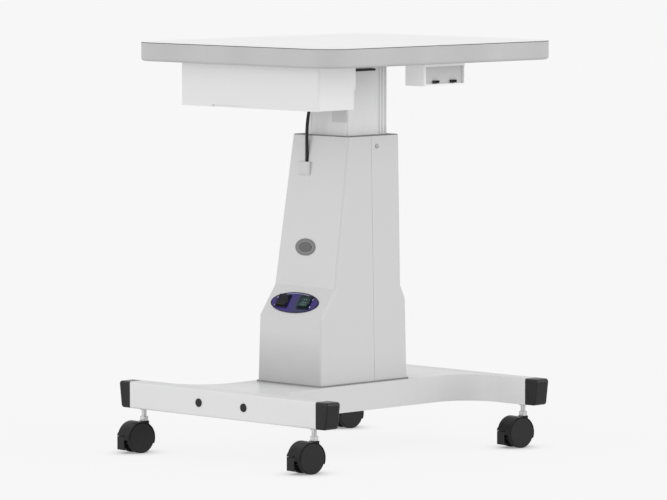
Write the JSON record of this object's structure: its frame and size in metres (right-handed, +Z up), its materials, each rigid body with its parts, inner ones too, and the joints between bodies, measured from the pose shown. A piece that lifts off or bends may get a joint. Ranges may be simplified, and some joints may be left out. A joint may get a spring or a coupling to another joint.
{
  "type": "instrument table",
  "caption": "Motorised height-adjustable ophthalmic instrument table with drawer, control panel and H-shaped base on twin-wheel casters.",
  "frame": {"origin": "on the floor, under the middle of the whole object's box", "axes": "+Z up, -Y to the front where the drawer and the control panel are, +X to the user's right when facing the panel"},
  "size_m": [0.4846, 0.5904, 0.6755],
  "materials": {
    "white_steel": "gloss",
    "grey_housing": "satin",
    "black_plastic": "satin",
    "black_rubber": "matte",
    "caster_nylon": "satin",
    "zinc_steel": "satin",
    "dark_steel": "satin",
    "column_aluminium": "satin",
    "bronze": "machined",
    "pad_plastic": "matte",
    "violet_panel": "gloss",
    "green_lens": "gloss",
    "badge_grey": "satin",
    "board_green": "satin",
    "laminate_white": "satin",
    "band_grey": "satin",
    "board_core": "raw",
    "drawer_steel": "satin",
    "light_plastic": "satin"
  },
  "bodies": {
    "base": {"front_beam": "white_steel", "rear_beam": "white_steel", "cross_member": "white_steel", "end_caps": "black_plastic", "plug_caps": "black_plastic", "frame_bolts": "zinc_steel", "caster_stems": "zinc_steel", "stem_nuts": "zinc_steel", "foot_gasket": "black_rubber", "housing_front": "grey_housing", "housing_rear": "grey_housing", "housing_screws": "zinc_steel", "top_seal": "black_rubber", "cord_cowl": "light_plastic", "panel_plate": "violet_panel", "switch_bezels": "black_plastic", "badge": "badge_grey", "column_foot": "dark_steel", "outer_column": "dark_steel", "glide_pads": "pad_plastic", "drive_motor": "dark_steel", "gearbox": "dark_steel", "control_board": "board_green", "transformer": "dark_steel", "power_inlet": "black_plastic"},
    "lift": {"inner_column": "column_aluminium", "nut_carrier": "dark_steel", "drive_nut": "bronze", "head_plate": "dark_steel", "top_screws": "zinc_steel", "index_plate": "band_grey", "column_stop": "black_rubber", "tabletop_core": "board_core", "edge_band": "band_grey", "tabletop_laminate": "laminate_white", "drawer_case": "drawer_steel", "outlet_box": "drawer_steel", "outlet_sockets": "black_plastic", "cord_gland": "black_plastic", "cord": "black_rubber"},
    "drawer": {"drawer_tray": "drawer_steel"},
    "screw": {"lead_screw": "zinc_steel"},
    "power_switch": {"power_rocker": "green_lens"},
    "lift_switch": {"lift_rocker": "black_plastic"},
    "caster_fl": {"caster_fl_hood": "caster_nylon"},
    "caster_fl_left": {"caster_fl_left_wheel": "caster_nylon"},
    "caster_fl_right": {"caster_fl_right_wheel": "caster_nylon"},
    "caster_fl_lever": {"caster_fl_brake": "caster_nylon"},
    "caster_fr": {"caster_fr_hood": "caster_nylon"},
    "caster_fr_left": {"caster_fr_left_wheel": "caster_nylon"},
    "caster_fr_right": {"caster_fr_right_wheel": "caster_nylon"},
    "caster_fr_lever": {"caster_fr_brake": "caster_nylon"},
    "caster_rl": {"caster_rl_hood": "caster_nylon"},
    "caster_rl_left": {"caster_rl_left_wheel": "caster_nylon"},
    "caster_rl_right": {"caster_rl_right_wheel": "caster_nylon"},
    "caster_rl_lever": {"caster_rl_brake": "caster_nylon"},
    "caster_rr": {"caster_rr_hood": "caster_nylon"},
    "caster_rr_left": {"caster_rr_left_wheel": "caster_nylon"},
    "caster_rr_right": {"caster_rr_right_wheel": "caster_nylon"},
    "caster_rr_lever": {"caster_rr_brake": "caster_nylon"}
  },
  "joints": [
    {"name": "lift_slide", "type": "slide", "parent": "base", "child": "lift", "axis": [0, 0, 1], "range_m": [-0.035, 0.165]},
    {"name": "drawer_slide", "type": "slide", "parent": "lift", "child": "drawer", "axis": [0, -1, 0], "range_m": [0, 0.06]},
    {"name": "screw_spin", "type": "hinge", "parent": "base", "child": "screw", "pos_m": [0, 0.02519, 0.3], "axis": [0, 0, 1], "range_deg": [-7430, 1580]},
    {"name": "power_switch_tilt", "type": "hinge", "parent": "base", "child": "power_switch", "pos_m": [0.021, -0.09272, 0.24985], "axis": [1, 0, 0], "range_deg": [0, 12]},
    {"name": "lift_switch_tilt", "type": "hinge", "parent": "base", "child": "lift_switch", "pos_m": [-0.029, -0.09272, 0.24985], "axis": [1, 0, 0], "range_deg": [-6, 6], "stiffness_Nm_per_rad": 0.1},
    {"name": "caster_fl_swivel", "type": "hinge", "parent": "base", "child": "caster_fl", "pos_m": [-0.198, -0.24981, 0.04], "axis": [0, 0, 1], "continuous": true},
    {"name": "caster_fl_left_roll", "type": "hinge", "parent": "caster_fl", "child": "caster_fl_left", "pos_m": [-0.19967, -0.26572, 0.025], "axis": [0.9945, -0.1045, 0], "continuous": true},
    {"name": "caster_fl_right_roll", "type": "hinge", "parent": "caster_fl", "child": "caster_fl_right", "pos_m": [-0.19967, -0.26572, 0.025], "axis": [0.9945, -0.1045, 0], "continuous": true},
    {"name": "caster_fl_brake_press", "type": "hinge", "parent": "caster_fl", "child": "caster_fl_lever", "pos_m": [-0.2025, -0.29257, 0.0252], "axis": [0.9945, -0.1045, 0], "range_deg": [0, 12]},
    {"name": "caster_fr_swivel", "type": "hinge", "parent": "base", "child": "caster_fr", "pos_m": [0.198, -0.24981, 0.04], "axis": [0, 0, 1], "continuous": true},
    {"name": "caster_fr_left_roll", "type": "hinge", "parent": "caster_fr", "child": "caster_fr_left", "pos_m": [0.19633, -0.26572, 0.025], "axis": [0.9945, -0.1045, 0], "continuous": true},
    {"name": "caster_fr_right_roll", "type": "hinge", "parent": "caster_fr", "child": "caster_fr_right", "pos_m": [0.19633, -0.26572, 0.025], "axis": [0.9945, -0.1045, 0], "continuous": true},
    {"name": "caster_fr_brake_press", "type": "hinge", "parent": "caster_fr", "child": "caster_fr_lever", "pos_m": [0.19351, -0.29257, 0.0252], "axis": [0.9945, -0.1045, 0], "range_deg": [0, 12]},
    {"name": "caster_rl_swivel", "type": "hinge", "parent": "base", "child": "caster_rl", "pos_m": [-0.198, 0.24219, 0.04], "axis": [0, 0, 1], "continuous": true},
    {"name": "caster_rl_left_roll", "type": "hinge", "parent": "caster_rl", "child": "caster_rl_left", "pos_m": [-0.19967, 0.22628, 0.025], "axis": [0.9945, -0.1045, 0], "continuous": true},
    {"name": "caster_rl_right_roll", "type": "hinge", "parent": "caster_rl", "child": "caster_rl_right", "pos_m": [-0.19967, 0.22628, 0.025], "axis": [0.9945, -0.1045, 0], "continuous": true},
    {"name": "caster_rl_brake_press", "type": "hinge", "parent": "caster_rl", "child": "caster_rl_lever", "pos_m": [-0.2025, 0.19942, 0.0252], "axis": [0.9945, -0.1045, 0], "range_deg": [0, 12]},
    {"name": "caster_rr_swivel", "type": "hinge", "parent": "base", "child": "caster_rr", "pos_m": [0.198, 0.24219, 0.04], "axis": [0, 0, 1], "continuous": true},
    {"name": "caster_rr_left_roll", "type": "hinge", "parent": "caster_rr", "child": "caster_rr_left", "pos_m": [0.19633, 0.22628, 0.025], "axis": [0.9945, -0.1045, 0], "continuous": true},
    {"name": "caster_rr_right_roll", "type": "hinge", "parent": "caster_rr", "child": "caster_rr_right", "pos_m": [0.19633, 0.22628, 0.025], "axis": [0.9945, -0.1045, 0], "continuous": true},
    {"name": "caster_rr_brake_press", "type": "hinge", "parent": "caster_rr", "child": "caster_rr_lever", "pos_m": [0.19351, 0.19942, 0.0252], "axis": [0.9945, -0.1045, 0], "range_deg": [0, 12]}
  ],
  "couplings": [
    {"joint": "screw_spin", "follows": "lift_slide", "rad_per_m": -785.4}
  ]
}
